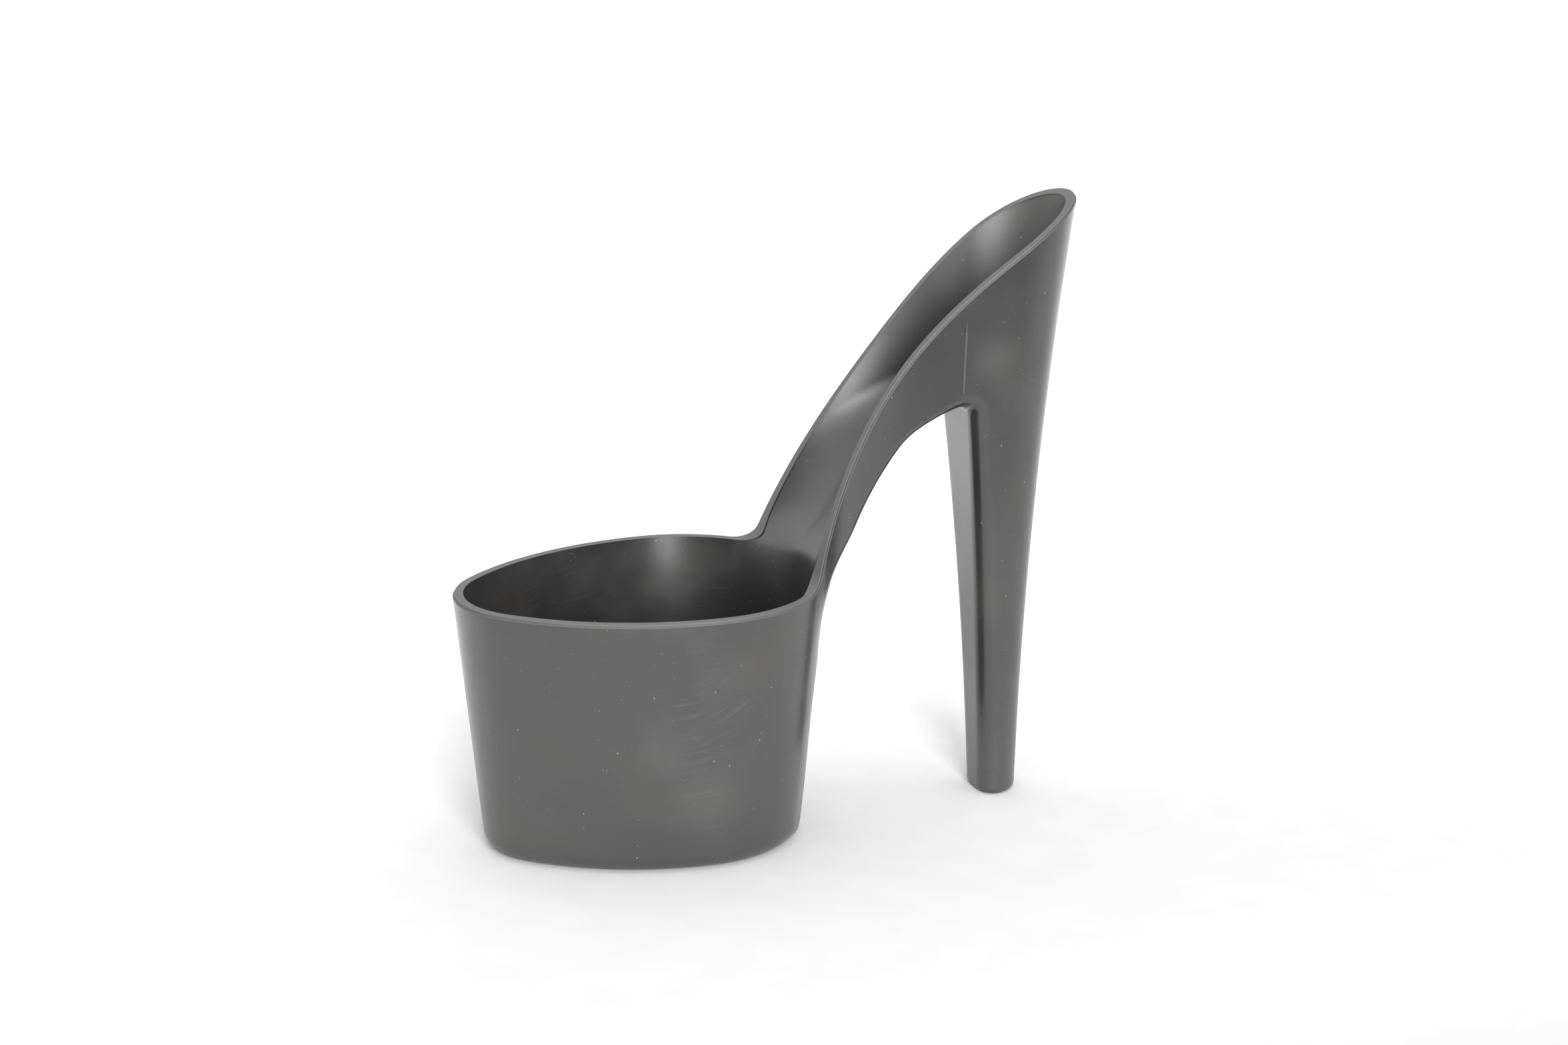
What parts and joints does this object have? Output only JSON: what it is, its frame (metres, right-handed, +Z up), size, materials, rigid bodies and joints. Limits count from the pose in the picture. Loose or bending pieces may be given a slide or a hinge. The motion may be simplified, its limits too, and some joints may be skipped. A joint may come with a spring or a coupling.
{
  "type": "platform shoe planter",
  "caption": "Open-topped plastic container moulded as a high-heeled platform shoe: rounded tub, slanted arch channel and tall hollow heel.",
  "frame": {"origin": "middle of the bounding box's footprint, on the surface that the shoe stands on", "axes": "+Z up, the toe points to -X and the heel to +X, and y = 0 is the plane of symmetry"},
  "size_m": [0.205, 0.0956, 0.2],
  "materials": {
    "shell": "satin black, lightly scuffed and dusty"
  },
  "bodies": {
    "root": {"platform_tub": "shell", "arch_channel": "shell", "heel_cup": "shell", "heel_stem": "shell"}
  },
  "joints": []
}
